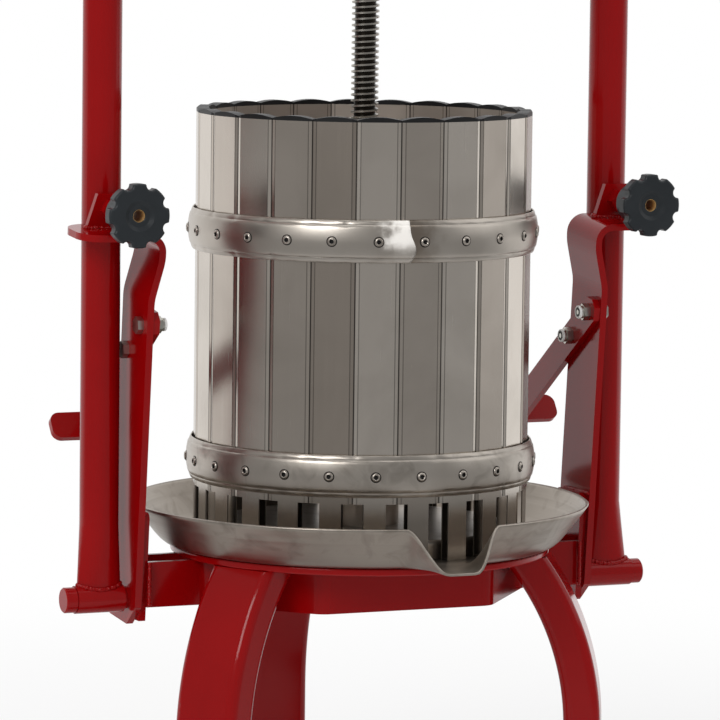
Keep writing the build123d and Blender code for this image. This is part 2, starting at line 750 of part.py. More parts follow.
bar_z = hub_bottom + hub_height / 2 + hub_socket / 2
with BuildPart() as handle_hub:
    with BuildSketch(Plane.XY.offset(hub_bottom)):
        Circle(hub_radius)
    extrude(amount=hub_height)
    fillet(handle_hub.edges(), hub_edge)
    with BuildSketch(Plane.XY.offset(hub_bottom)):
        Circle(screw_radius)
    extrude(amount=hub_socket, mode=Mode.SUBTRACT)
    with Locations(Location((0, 0, bar_z), (0, 90, 0))):
        Cylinder(bar_radius, 4 * hub_radius, mode=Mode.SUBTRACT)
save(handle_hub, "handle_hub")

with BuildPart() as handle_bar:
    with Locations(Location((0, 0, bar_z), (0, 90, 0))):
        Cylinder(bar_radius, bar_length)
save(handle_bar, "handle_bar")

for side, sign in sides.items():
    grip_plane = Plane((sign * (bar_length / 2 - grip_depth), 0, bar_z), z_dir=(sign, 0, 0))
    with BuildPart() as grip:
        with BuildSketch(grip_plane):
            Circle(grip_radius)
        extrude(amount=grip_length)
        fillet(grip.edges(), grip_edge)
        with BuildSketch(grip_plane):
            Circle(bar_radius)
        extrude(amount=grip_depth, mode=Mode.SUBTRACT)
    save(grip, f"grip_{side}")

with BuildPart() as thrust_foot:
    with BuildSketch(Plane.XY.offset(foot_bottom)):
        Circle(foot_radius)
    extrude(amount=foot_height)
    fillet(thrust_foot.edges(), foot_edge)
    with BuildSketch(Plane.XY.offset(foot_top)):
        Circle(journal_radius + screw_play)
    extrude(amount=-journal_length - pivot_end_gap, mode=Mode.SUBTRACT)
save(thrust_foot, "thrust_foot")

# Press plate: a dished disc with a boss for the thrust foot, lying in the bottom of the basket
press_radius = slat_apothem - slat_depth - press_play
press_bottom = tray_floor + basket_seat
press_top = press_bottom + press_skirt
with BuildPart() as press_plate:
    with BuildSketch(Plane.XY.offset(press_bottom)):
        Circle(press_radius)
    extrude(amount=press_skirt)
    fillet(press_plate.edges().group_by(Axis.Z)[-1], press_thick)
    with BuildSketch(Plane.XY.offset(press_bottom)):
        Circle(press_radius - press_thick)
    extrude(amount=press_skirt - press_thick, mode=Mode.SUBTRACT)
save(press_plate, "press_plate")

with BuildPart() as press_boss_part:
    with BuildSketch(Plane.XY.offset(press_top)):
        Circle(press_boss_radius)
    extrude(amount=press_boss)
    fillet(press_boss_part.edges().group_by(Axis.Z)[-1], press_edge)
    with BuildSketch(Plane.XY.offset(press_top + press_boss)):
        Circle(foot_radius + press_edge)
    extrude(amount=-press_boss / 4, mode=Mode.SUBTRACT)
save(press_boss_part, "press_boss")
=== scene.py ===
import json
import math
import random

import bmesh
import bpy
from mathutils import Matrix, Vector


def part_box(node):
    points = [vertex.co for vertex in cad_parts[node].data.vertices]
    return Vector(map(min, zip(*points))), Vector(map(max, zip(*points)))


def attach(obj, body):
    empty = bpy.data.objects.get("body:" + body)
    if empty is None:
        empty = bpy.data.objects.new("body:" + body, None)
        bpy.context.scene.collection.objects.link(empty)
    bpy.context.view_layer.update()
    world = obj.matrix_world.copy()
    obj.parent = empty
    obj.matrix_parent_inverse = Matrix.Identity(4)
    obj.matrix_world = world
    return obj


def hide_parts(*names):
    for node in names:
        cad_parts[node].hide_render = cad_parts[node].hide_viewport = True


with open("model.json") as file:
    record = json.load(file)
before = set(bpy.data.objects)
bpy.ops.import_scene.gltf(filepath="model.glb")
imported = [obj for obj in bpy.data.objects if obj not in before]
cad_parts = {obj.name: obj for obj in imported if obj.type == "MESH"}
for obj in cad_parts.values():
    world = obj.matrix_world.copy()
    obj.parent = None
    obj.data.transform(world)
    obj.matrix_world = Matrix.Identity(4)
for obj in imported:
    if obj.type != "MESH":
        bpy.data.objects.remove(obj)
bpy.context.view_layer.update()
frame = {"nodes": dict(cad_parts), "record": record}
nodes = frame["nodes"]
MM = 0.001
ORIGIN = (0, 0, 0)
ALONG_X, ALONG_Y, ALONG_Z = (1, 0, 0), (0, 1, 0), (0, 0, 1)

# Sockets of a Mix node, which share their names: for colours and for plain values
FACTOR = 0
COLOUR_A, COLOUR_B, COLOUR = 6, 7, 2
VALUE_A, VALUE_B, VALUE = 2, 3, 0


def linear(colour):
    """A hex colour, as a screen shows it, in the linear values that a shader reads."""
    parts = [int(colour[i:i + 2], 16) / 255 for i in (1, 3, 5)]
    return [p / 12.92 if p <= 0.04045 else ((p + 0.055) / 1.055) ** 2.4 for p in parts] + [1.0]


def add(tree, kind, inputs=(), **settings):
    """One shader node, with its settings, and its inputs set or linked."""
    made = tree.nodes.new(kind)
    for name, value in settings.items():
        setattr(made, name, value)
    for name, value in dict(inputs).items():
        if isinstance(value, bpy.types.NodeSocket):
            tree.links.new(value, made.inputs[name])
        else:
            made.inputs[name].default_value = value
    return made


def surface(name, **sockets):
    """A new material with its tree, its shader and its object coordinates."""
    made = bpy.data.materials.new(name)
    made.use_nodes = True
    tree = made.node_tree
    tree.nodes.clear()
    shader = add(tree, "ShaderNodeBsdfPrincipled",
                 {k.replace("_", " "): v for k, v in sockets.items()})
    add(tree, "ShaderNodeOutputMaterial", {"Surface": shader.outputs["BSDF"]})
    place = add(tree, "ShaderNodeTexCoord")
    return made, tree, shader, place.outputs["Object"]


# Enamel on steel, sprayed and baked: a deep red, with the soft gloss and faint peel of the spray
ENAMEL_CLOUD = 60 * MM
PEEL = 2.2 * MM
PEEL_DEPTH = 0.05 * MM


def red_enamel():
    made, tree, shader, place = surface("red_enamel", Roughness=0.13, IOR=1.5,
                                        Specular_IOR_Level=0.28)
    cloud = add(tree, "ShaderNodeTexNoise",
                {"Vector": place, "Scale": 1 / ENAMEL_CLOUD, "Detail": 3.0})
    tone = add(tree, "ShaderNodeMix", {FACTOR: cloud.outputs["Fac"], COLOUR_A: linear("#800204"),
                                       COLOUR_B: linear("#900406")}, data_type="RGBA")
    tree.links.new(tone.outputs[COLOUR], shader.inputs["Base Color"])
    peel = add(tree, "ShaderNodeTexNoise", {"Vector": place, "Scale": 1 / PEEL, "Detail": 1.0})
    bump = add(tree, "ShaderNodeBump",
               {"Height": peel.outputs["Fac"], "Strength": 0.12, "Distance": PEEL_DEPTH})
    tree.links.new(bump.outputs["Normal"], shader.inputs["Normal"])
    return made


# Stainless sheet, folded: every slat comes from its own strip, so each has its own tone
SLATS = 24
SLATS_PER_RADIAN = SLATS / math.tau
SLAT_PITCH = 38.1 * MM
SLAT_TURN = math.radians(-3.9)
FIRST_STRIP = 20.5
SLAT_GRAIN = 0.9 * MM
GRAIN_DEPTH = 0.02 * MM
GRAIN_STRETCH = (1.0, 1.0, 0.008)
SLAT_CLOUD = 110 * MM
HALF_SLAT = 0.5
# Painted shade at the seams and folds: its widths and the place of the fold, as shares of the
# pitch
SEAM_SHADE = 0.9 * MM / SLAT_PITCH
SEAM_CORE = 0.3
FOLD = 3.55 * MM / SLAT_PITCH
FOLD_SHADE = 0.45 * MM / SLAT_PITCH
FACE_TURN = 60 * MM
INNER_SHADE_TOP, INNER_SHADE_LOW = 540 * MM, 340 * MM
DARK_FEET_TOP, DARK_FEET_LOW = 334 * MM, 292 * MM
INNER_ROUGHNESS = 0.7


def stainless_slats():
    made, tree, shader, place = surface("stainless_slats", Metallic=1.0)
    axis = add(tree, "ShaderNodeSeparateXYZ", {"Vector": place})
    angle = add(tree, "ShaderNodeMath", {0: axis.outputs["Y"], 1: axis.outputs["X"]},
                operation="ARCTAN2")
    strip = add(tree, "ShaderNodeMath",
                {0: angle.outputs["Value"], 1: SLATS_PER_RADIAN,
                 2: FIRST_STRIP - SLAT_TURN * SLATS_PER_RADIAN}, operation="MULTIPLY_ADD")
    count = add(tree, "ShaderNodeMath", {0: strip.outputs["Value"]}, operation="FLOOR")
    batch = add(tree, "ShaderNodeTexWhiteNoise", {"W": count.outputs["Value"]},
                noise_dimensions="1D")
    # The grain of the rolling mill runs along the slat, drawn wider than its real 0.1 mm to show
    lines = add(tree, "ShaderNodeMapping", {"Vector": place, "Scale": GRAIN_STRETCH})
    grain = add(tree, "ShaderNodeTexNoise",
                {"Vector": lines.outputs["Vector"], "Scale": 1 / SLAT_GRAIN, "Detail": 4.0})
    cloud = add(tree, "ShaderNodeTexNoise", {"Vector": place, "Scale": 1 / SLAT_CLOUD,
                                             "Detail": 4.0, "Distortion": 0.6})
    tone = add(tree, "ShaderNodeMix", {FACTOR: batch.outputs["Value"], COLOUR_A: linear("#aba095"),
                                       COLOUR_B: linear("#e0d8ce")}, data_type="RGBA")
    smudge = add(tree, "ShaderNodeMapRange", {"Value": cloud.outputs["Fac"], "From Min": 0.45,
                                              "From Max": 0.75, "To Max": 0.3})
    tone = add(tree, "ShaderNodeMix",
               {FACTOR: smudge.outputs["Result"], COLOUR_A: tone.outputs[COLOUR],
                COLOUR_B: linear("#8d847a")}, data_type="RGBA")

    # Painted shade darkens the seams between the slats and the folds
    across = add(tree, "ShaderNodeMath", {0: strip.outputs["Value"]}, operation="FRACT")
    off = add(tree, "ShaderNodeMath", {0: across.outputs["Value"], 1: HALF_SLAT},
              operation="SUBTRACT")
    out = add(tree, "ShaderNodeMath", {0: off.outputs["Value"]}, operation="ABSOLUTE")
    seam = add(tree, "ShaderNodeMapRange",
               {"Value": out.outputs["Value"], "From Min": HALF_SLAT - SEAM_SHADE,
                "From Max": HALF_SLAT - SEAM_CORE * SEAM_SHADE, "To Max": 0.85})
    fold = add(tree, "ShaderNodeMath",
               {0: out.outputs["Value"], 1: HALF_SLAT - FOLD, 2: FOLD_SHADE}, operation="COMPARE")
    faint = add(tree, "ShaderNodeMath", {0: fold.outputs["Value"], 1: 0.5}, operation="MULTIPLY")
    seam_and_fold_shade = add(tree, "ShaderNodeMath", {0: seam.outputs["Result"], 1: faint.outputs["Value"]},
                operation="MAXIMUM")
    tone = add(tree, "ShaderNodeMix",
               {FACTOR: seam_and_fold_shade.outputs["Value"], COLOUR_A: tone.outputs[COLOUR],
                COLOUR_B: linear("#2e2822")}, data_type="RGBA")

    # The fruit leaves the inner faces dull; painted shade darkens them low down, and the slats
    # grow darker towards their feet
    facing = add(tree, "ShaderNodeTexCoord")
    outward = add(tree, "ShaderNodeVectorMath", {0: facing.outputs["Normal"], 1: place},
                  operation="DOT_PRODUCT")
    inner = add(tree, "ShaderNodeMapRange", {"Value": outward.outputs["Value"],
                                             "From Min": FACE_TURN, "From Max": -FACE_TURN})
    # Painted shade on the inner faces, deepest low down
    low = add(tree, "ShaderNodeMapRange", {"Value": axis.outputs["Z"], "From Min": INNER_SHADE_TOP,
                                           "From Max": INNER_SHADE_LOW, "To Max": 0.8})
    inner_shade = add(tree, "ShaderNodeMath", {0: inner.outputs["Result"], 1: low.outputs["Result"]},
                operation="MULTIPLY")
    # The slats grow darker towards their feet
    foot = add(tree, "ShaderNodeMapRange", {"Value": axis.outputs["Z"], "From Min": DARK_FEET_TOP,
                                            "From Max": DARK_FEET_LOW, "To Max": 0.6})
    darkening = add(tree, "ShaderNodeMath", {0: inner_shade.outputs["Value"], 1: foot.outputs["Result"]},
                operation="MAXIMUM")
    tone = add(tree, "ShaderNodeMix",
               {FACTOR: darkening.outputs["Value"], COLOUR_A: tone.outputs[COLOUR],
                COLOUR_B: linear("#4a4239")}, data_type="RGBA")
    tree.links.new(tone.outputs[COLOUR], shader.inputs["Base Color"])

    rough = add(tree, "ShaderNodeMapRange",
                {"Value": grain.outputs["Fac"], "To Min": 0.2, "To Max": 0.3})
    dull = add(tree, "ShaderNodeMix", {FACTOR: inner.outputs["Result"],
                                       VALUE_A: rough.outputs["Result"], VALUE_B: INNER_ROUGHNESS})
    tree.links.new(dull.outputs[VALUE], shader.inputs["Roughness"])
    bump = add(tree, "ShaderNodeBump",
               {"Height": grain.outputs["Fac"], "Strength": 0.05, "Distance": GRAIN_DEPTH})
    tree.links.new(bump.outputs["Normal"], shader.inputs["Normal"])
    return made


# Spun stainless: rings from the spinning tool run round the piece, and handling leaves smudges
FLAT = (1.0, 1.0, 0.0)
SPUN_CLOUD = 75 * MM
SPUN_BLOT = 24 * MM
SHADE_OUTSIDE, SHADE_INSIDE = 10 * MM, 6 * MM
RING_DEPTH = 0.02 * MM


def spun_stainless(name, dark, bright, ring, dull, basket_shade_radius=0.0):
    made, tree, shader, place = surface(name, Metallic=1.0)
    flat = add(tree, "ShaderNodeVectorMath", {0: place, 1: FLAT}, operation="MULTIPLY")
    radius = add(tree, "ShaderNodeVectorMath", {0: flat.outputs["Vector"]}, operation="LENGTH")
    axis = add(tree, "ShaderNodeSeparateXYZ", {"Vector": place})
    rings = add(tree, "ShaderNodeCombineXYZ",
                {"X": radius.outputs["Value"], "Y": axis.outputs["Z"]})
    grain = add(tree, "ShaderNodeTexNoise",
                {"Vector": rings.outputs["Vector"], "Scale": 1 / ring, "Detail": 3.0})
    cloud = add(tree, "ShaderNodeTexNoise", {"Vector": place, "Scale": 1 / SPUN_CLOUD,
                                             "Detail": 5.0, "Distortion": 0.8})
    tone = add(tree, "ShaderNodeMix", {FACTOR: cloud.outputs["Fac"], COLOUR_A: linear(dark),
                                       COLOUR_B: linear(bright)}, data_type="RGBA")
    blot = add(tree, "ShaderNodeTexNoise", {"Vector": place, "Scale": 1 / SPUN_BLOT,
                                            "Detail": 6.0, "Distortion": 1.2})
    darkening = add(tree, "ShaderNodeMapRange", {"Value": blot.outputs["Fac"], "From Min": 0.5,
                                             "From Max": 0.72, "To Max": 0.4})
    tone = add(tree, "ShaderNodeMix",
               {FACTOR: darkening.outputs["Result"], COLOUR_A: tone.outputs[COLOUR],
                COLOUR_B: linear("#6f655a")}, data_type="RGBA")
    # Painted shade of the basket: darker within the given radius
    basket_shade = add(tree, "ShaderNodeMapRange",
                {"Value": radius.outputs["Value"], "From Min": basket_shade_radius + SHADE_OUTSIDE,
                 "From Max": basket_shade_radius - SHADE_INSIDE, "To Max": 0.8})
    tone = add(tree, "ShaderNodeMix",
               {FACTOR: basket_shade.outputs["Result"], COLOUR_A: tone.outputs[COLOUR],
                COLOUR_B: linear("#453d35")}, data_type="RGBA")
    tree.links.new(tone.outputs[COLOUR], shader.inputs["Base Color"])
    worn = add(tree, "ShaderNodeMath", {0: grain.outputs["Fac"], 1: cloud.outputs["Fac"]},
               operation="MULTIPLY")
    rough = add(tree, "ShaderNodeMapRange", {"Value": worn.outputs["Value"], "From Max": 0.5,
                                             "To Min": dull[0], "To Max": dull[1]})
    tree.links.new(rough.outputs["Result"], shader.inputs["Roughness"])
    bump = add(tree, "ShaderNodeBump",
               {"Height": grain.outputs["Fac"], "Strength": 0.1, "Distance": RING_DEPTH})
    tree.links.new(bump.outputs["Normal"], shader.inputs["Normal"])
    return made


# Rolled stainless with a ground weld: the flap wheel leaves a bright, scattering patch on the lap,
# partly a painted highlight
SEAM = math.radians(-98.9)
LAP_OVER = 0.08
PATCH_BLOT = 11 * MM
PATCH_RAGGED = 0.26
PATCH_FADE = 0.06
PATCH_DRIP = 12 * MM
PATCH_LOW, PATCH_HIGH = 526 * MM, 538 * MM
TINT_NEAR, TINT_FAR = 0.12, 0.36


def seamed_hoop_stainless(name, stop):
    made, tree, shader, place = surface(name)
    axis = add(tree, "ShaderNodeSeparateXYZ", {"Vector": place})
    angle = add(tree, "ShaderNodeMath", {0: axis.outputs["Y"], 1: axis.outputs["X"]},
                operation="ARCTAN2")
    blot = add(tree, "ShaderNodeTexNoise",
               {"Vector": place, "Scale": 1 / PATCH_BLOT, "Detail": 5.0})
    ragged = add(tree, "ShaderNodeMath",
                 {0: blot.outputs["Fac"], 1: PATCH_RAGGED, 2: angle.outputs["Value"]},
                 operation="MULTIPLY_ADD")
    left = add(tree, "ShaderNodeMapRange",
               {"Value": ragged.outputs["Value"], "From Min": SEAM - PATCH_FADE,
                "From Max": SEAM + PATCH_FADE}, interpolation_type="SMOOTHSTEP")
    # The patch brightens towards the top, as a painted highlight
    up = add(tree, "ShaderNodeMath",
             {0: blot.outputs["Fac"], 1: PATCH_DRIP, 2: axis.outputs["Z"]},
             operation="MULTIPLY_ADD")
    high = add(tree, "ShaderNodeMapRange",
               {"Value": up.outputs["Value"], "From Min": PATCH_LOW, "From Max": PATCH_HIGH,
                "To Min": 0.12}, interpolation_type="SMOOTHSTEP")
    short = add(tree, "ShaderNodeMath", {0: angle.outputs["Value"], 1: stop},
                operation="LESS_THAN")
    patch_and_highlight = add(tree, "ShaderNodeMath", {0: left.outputs["Result"], 1: high.outputs["Result"]},
                operation="MULTIPLY")
    ground = add(tree, "ShaderNodeMath", {0: patch_and_highlight.outputs["Value"], 1: short.outputs["Value"]},
                 operation="MULTIPLY")
    cloud = add(tree, "ShaderNodeTexNoise", {"Vector": place, "Scale": 1 / SPUN_CLOUD,
                                             "Detail": 5.0, "Distortion": 0.8})
    rolled = add(tree, "ShaderNodeMix", {FACTOR: cloud.outputs["Fac"], COLOUR_A: linear("#a89f95"),
                                         COLOUR_B: linear("#cdc6bd")}, data_type="RGBA")
    # The heat of the weld leaves a brown tint on the band beyond
    near = add(tree, "ShaderNodeMapRange",
               {"Value": ragged.outputs["Value"], "From Min": SEAM + TINT_FAR,
                "From Max": SEAM + TINT_NEAR, "To Max": 0.6}, interpolation_type="SMOOTHSTEP")
    past = add(tree, "ShaderNodeMath", {0: angle.outputs["Value"], 1: stop},
               operation="GREATER_THAN")
    burnt = add(tree, "ShaderNodeMath", {0: near.outputs["Result"], 1: past.outputs["Value"]},
                operation="MULTIPLY")
    tinted = add(tree, "ShaderNodeMix",
                 {FACTOR: burnt.outputs["Value"], COLOUR_A: rolled.outputs[COLOUR],
                  COLOUR_B: linear("#6a5744")}, data_type="RGBA")
    # Partly a painted highlight: the ground patch is mixed to near white
    tone = add(tree, "ShaderNodeMix",
               {FACTOR: ground.outputs["Value"], COLOUR_A: tinted.outputs[COLOUR],
                COLOUR_B: linear("#faf6f0")}, data_type="RGBA")
    tree.links.new(tone.outputs[COLOUR], shader.inputs["Base Color"])
    rough = add(tree, "ShaderNodeMapRange",
                {"Value": ground.outputs["Value"], "To Min": 0.34, "To Max": 0.45})
    tree.links.new(rough.outputs["Result"], shader.inputs["Roughness"])
    scatter_and_highlight = add(tree, "ShaderNodeMapRange",
                  {"Value": ground.outputs["Value"], "To Min": 1.0, "To Max": 0.2})
    tree.links.new(scatter_and_highlight.outputs["Result"], shader.inputs["Metallic"])
    return made


# Zinc plate on steel fasteners: a warm grey, a little blotched by the bath
BLOOM = 7 * MM


def zinc_plate():
    made, tree, shader, place = surface("zinc_plate", Metallic=1.0)
    bloom = add(tree, "ShaderNodeTexNoise", {"Vector": place, "Scale": 1 / BLOOM, "Detail": 4.0})
    tone = add(tree, "ShaderNodeMix", {FACTOR: bloom.outputs["Fac"], COLOUR_A: linear("#a8a49b"),
                                       COLOUR_B: linear("#d9d6cf")}, data_type="RGBA")
    tree.links.new(tone.outputs[COLOUR], shader.inputs["Base Color"])
    rough = add(tree, "ShaderNodeMapRange",
                {"Value": bloom.outputs["Fac"], "To Min": 0.22, "To Max": 0.4})
    tree.links.new(rough.outputs["Result"], shader.inputs["Roughness"])
    return made


# Rolled thread: bright on the crests, where the nut rubs them, and darker towards the roots
CREST = 11.95 * MM
ROOT = 9.2 * MM


def thread_dark_in_roots():
    made, tree, shader, place = surface("thread_dark_in_roots", Metallic=1.0)
    flat = add(tree, "ShaderNodeVectorMath", {0: place, 1: FLAT}, operation="MULTIPLY")
    radius = add(tree, "ShaderNodeVectorMath", {0: flat.outputs["Vector"]}, operation="LENGTH")
    root_to_crest = add(tree, "ShaderNodeMapRange",
                 {"Value": radius.outputs["Value"], "From Min": ROOT, "From Max": CREST})
    bloom = add(tree, "ShaderNodeTexNoise", {"Vector": place, "Scale": 1 / BLOOM, "Detail": 4.0})
    crest = add(tree, "ShaderNodeMix", {FACTOR: bloom.outputs["Fac"], COLOUR_A: linear("#99948a"),
                                        COLOUR_B: linear("#c4c0b8")}, data_type="RGBA")
    # Darker towards the roots, lighter on the crests
    tone = add(tree, "ShaderNodeMix",
               {FACTOR: root_to_crest.outputs["Result"], COLOUR_A: linear("#2b2722"),
                COLOUR_B: crest.outputs[COLOUR]}, data_type="RGBA")
    tree.links.new(tone.outputs[COLOUR], shader.inputs["Base Color"])
    rough = add(tree, "ShaderNodeMapRange",
                {"Value": bloom.outputs["Fac"], "To Min": 0.2, "To Max": 0.38})
    tree.links.new(rough.outputs["Result"], shader.inputs["Roughness"])
    return made


# Moulded plastic: near black with the fine grain of the mould
MOULD_CLOUD = 25 * MM
MOULD_DEPTH = 0.03 * MM


def moulded_black(name, dark, bright, roughness, grit):
    made, tree, shader, place = surface(name, Roughness=roughness, IOR=1.5,
                                        Specular_IOR_Level=0.25)
    cloud = add(tree, "ShaderNodeTexNoise",
                {"Vector": place, "Scale": 1 / MOULD_CLOUD, "Detail": 2.0})
    tone = add(tree, "ShaderNodeMix", {FACTOR: cloud.outputs["Fac"], COLOUR_A: linear(dark),
                                       COLOUR_B: linear(bright)}, data_type="RGBA")
    tree.links.new(tone.outputs[COLOUR], shader.inputs["Base Color"])
    grain = add(tree, "ShaderNodeTexNoise", {"Vector": place, "Scale": 1 / grit, "Detail": 2.0})
    bump = add(tree, "ShaderNodeBump",
               {"Height": grain.outputs["Fac"], "Strength": 0.2, "Distance": MOULD_DEPTH})
    tree.links.new(bump.outputs["Normal"], shader.inputs["Normal"])
    return made


# Turned brass: yellow metal, a little clouded by handling
BRASS_CLOUD = 6 * MM


def turned_brass():
    made, tree, shader, place = surface("turned_brass", Metallic=1.0, Roughness=0.3)
    cloud = add(tree, "ShaderNodeTexNoise",
                {"Vector": place, "Scale": 1 / BRASS_CLOUD, "Detail": 3.0})
    tone = add(tree, "ShaderNodeMix", {FACTOR: cloud.outputs["Fac"], COLOUR_A: linear("#b08a4a"),
                                       COLOUR_B: linear("#dcbb7e")}, data_type="RGBA")
    tree.links.new(tone.outputs[COLOUR], shader.inputs["Base Color"])
    return made


# Turned brass, set in a moulding: bright at its mouth, partly a painted highlight, and brown down
# the bore as painted shade
INSERT_CLOUD = 3 * MM
BORE_MOUTH, BORE_DEEP = -76 * MM, -66 * MM


def shaded_brass_insert():
    made, tree, shader, place = surface("brass_insert_painted_light", Metallic=0.6, Roughness=0.3)
    axis = add(tree, "ShaderNodeSeparateXYZ", {"Vector": place})
    deep = add(tree, "ShaderNodeMapRange", {"Value": axis.outputs["Y"], "From Min": BORE_MOUTH,
                                            "From Max": BORE_DEEP, "To Max": 0.9})
    cloud = add(tree, "ShaderNodeTexNoise",
                {"Vector": place, "Scale": 1 / INSERT_CLOUD, "Detail": 3.0})
    lit_mouth = add(tree, "ShaderNodeMix", {FACTOR: cloud.outputs["Fac"], COLOUR_A: linear("#dd9c48"),
                                        COLOUR_B: linear("#ffe0a2")}, data_type="RGBA")
    # Painted shade darkens the bore away from its mouth
    tone = add(tree, "ShaderNodeMix",
               {FACTOR: deep.outputs["Result"], COLOUR_A: lit_mouth.outputs[COLOUR],
                COLOUR_B: linear("#7a3212")}, data_type="RGBA")
    tree.links.new(tone.outputs[COLOUR], shader.inputs["Base Color"])
    return made


# Nylon: the milky locking ring pressed into a nut, a little uneven where the bolt cut it
NYLON_CUT = 1.5 * MM


def cut_nylon():
    made, tree, shader, place = surface("cut_nylon", Roughness=0.45, IOR=1.53)
    cut = add(tree, "ShaderNodeTexNoise", {"Vector": place, "Scale": 1 / NYLON_CUT, "Detail": 2.0})
    tone = add(tree, "ShaderNodeMix", {FACTOR: cut.outputs["Fac"], COLOUR_A: linear("#d9dad8"),
                                       COLOUR_B: linear("#f2f2ef")}, data_type="RGBA")
    tree.links.new(tone.outputs[COLOUR], shader.inputs["Base Color"])
    return made


enamel = red_enamel()
slat_steel = stainless_slats()
# The tray takes painted shade under the basket, within the given radius
tray_steel = spun_stainless("spun_tray_stainless", "#968c81", "#b7aea4", ring=1.6 * MM,
                            dull=(0.26, 0.48), basket_shade_radius=150 * MM)
plate_steel = spun_stainless("turned_plate_stainless", "#a1978d", "#c2bab1", ring=1.6 * MM,
                             dull=(0.22, 0.44))
hoop_steel = spun_stainless("rolled_hoop_stainless", "#a89f95", "#cdc6bd", ring=1.2 * MM,
                            dull=(0.26, 0.44))
edge_steel = spun_stainless("sheared_edge_stainless", "#a0978d", "#c2bab0", ring=0.8 * MM,
                            dull=(0.28, 0.42))
seam_steel = seamed_hoop_stainless("seamed_hoop_stainless", stop=SEAM)
lap_steel = seamed_hoop_stainless("ground_lap_highlight_stainless", stop=SEAM + LAP_OVER)
zinc = zinc_plate()
thread_steel = thread_dark_in_roots()
black_caps = moulded_black("polythene_caps", "#121213", "#1c1c1d", roughness=0.42, grit=0.5 * MM)
knob_black = moulded_black("polyamide_knobs", "#1e2124", "#2b2f32", roughness=0.36, grit=0.7 * MM)
mandrel_and_shadow_black = moulded_black("oxidised_mandrel_and_painted_shadow", "#0c0b0b", "#1a1817", roughness=0.5,
                              grit=0.4 * MM)
brass = turned_brass()
insert_brass = shaded_brass_insert()
nylon = cut_nylon()
slot_finish = {"red_paint": enamel, "stainless": slat_steel, "zinc": zinc,
               "black_plastic": black_caps, "knob_plastic": knob_black, "brass": brass}
node_finish = {"tray": tray_steel, "hoop_lower": hoop_steel, "hoop_upper": seam_steel,
               "press_plate": plate_steel, "press_boss": plate_steel,
               "knob_insert_left": insert_brass, "knob_insert_right": insert_brass}
for part in frame["record"]["subparts"]:
    held = nodes[part["node"]].data.materials
    held.clear()
    held.append(node_finish.get(part["node"], slot_finish[part["material_slot"]]))

MERGE = 0.01 * MM
CREASE = math.radians(38)


def fit(name, shape, finishes, body, stands_for=()):
    """A new piece from its shape, with its finishes, on the body that carries it."""
    mesh = bpy.data.meshes.new(name)
    shape.to_mesh(mesh)
    shape.free()
    mesh.shade_smooth()
    mesh.set_sharp_from_angle(angle=CREASE)
    for finish in finishes:
        mesh.materials.append(finish)
    made = bpy.data.objects.new(name, mesh)
    bpy.context.scene.collection.objects.link(made)
    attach(made, body)
    if stands_for:
        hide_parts(*stands_for)
    return made


def outline(shape, points):
    """An open line of edges through the points, ready to be spun."""
    verts = [shape.verts.new(p) for p in points]
    return verts + [shape.edges.new(pair) for pair in zip(verts, verts[1:])]


def turn(shape, line, axis, steps):
    """Spin a line all the way round an axis, with its seam and its poles closed."""
    bmesh.ops.spin(shape, geom=line, axis=axis, cent=ORIGIN, angle=math.tau, steps=steps,
                   use_merge=True)
    bmesh.ops.remove_doubles(shape, verts=shape.verts, dist=MERGE)
    bmesh.ops.recalc_face_normals(shape, faces=shape.faces)


def face_out(shape, outward):
    """Turn the faces round where, taken together, they look inwards."""
    if sum(outward(face) for face in shape.faces) < 0:
        bmesh.ops.reverse_faces(shape, faces=shape.faces)


def thicken(piece, sheet):
    """Give a skin the thickness of its sheet, inwards from its face."""
    wall = piece.modifiers.new("sheet", "SOLIDIFY")
    wall.thickness = sheet
    wall.offset = -1
    return wall


def box(node):
    """The two corners of a CAD node's box."""
    return (Vector(v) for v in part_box(node))


# Screw: a right-hand trapezoidal thread of 5 mm pitch, cut off flat at both ends
PITCH = 5 * MM
FACETS = 28
PLAIN_END = 12.4 * MM
TOOTH = ((ROOT, 0), (ROOT, 0.3), (CREST, 0.43), (CREST, 0.75), (ROOT, 0.88), (ROOT, 1))
screw_low, screw_high = box("screw")
thread_low = screw_low.z + PLAIN_END
turns = math.ceil((screw_high.z - thread_low) / PITCH) + 2
screw = bmesh.new()
tooth = outline(screw, [(r, 0, thread_low - PITCH + z * PITCH) for r, z in TOOTH])
bmesh.ops.spin(screw, geom=tooth, axis=ALONG_Z, cent=ORIGIN, dvec=(0, 0, PITCH / FACETS),
               angle=math.tau * turns, steps=FACETS * turns)
bmesh.ops.remove_doubles(screw, verts=screw.verts, dist=MERGE)
for level, away_from in ((thread_low, -1), (screw_high.z, 1)):
    bmesh.ops.bisect_plane(screw, geom=screw.verts[:] + screw.edges[:] + screw.faces[:],
                           plane_co=(0, 0, level), plane_no=(0, 0, away_from), clear_outer=True)
    cut = [e for e in screw.edges
           if e.is_boundary and all(abs(v.co.z - level) < MERGE for v in e.verts)]
    bmesh.ops.holes_fill(screw, edges=cut, sides=0)
bmesh.ops.recalc_face_normals(screw, faces=screw.faces)
fit("threaded_screw", screw, [thread_steel], "screw", ["screw"])

# Blind rivets: a domed flange in a ring of painted shadow, round the dark hole that the mandrel
# leaves
HEAD = 3.9
HEAD_EDGE = HEAD - 0.05
SHADOW_RING = 0.7
SHADOW_RING_HEIGHT = 0.2
HOLE = 1.9
RIVET_FACETS = 20
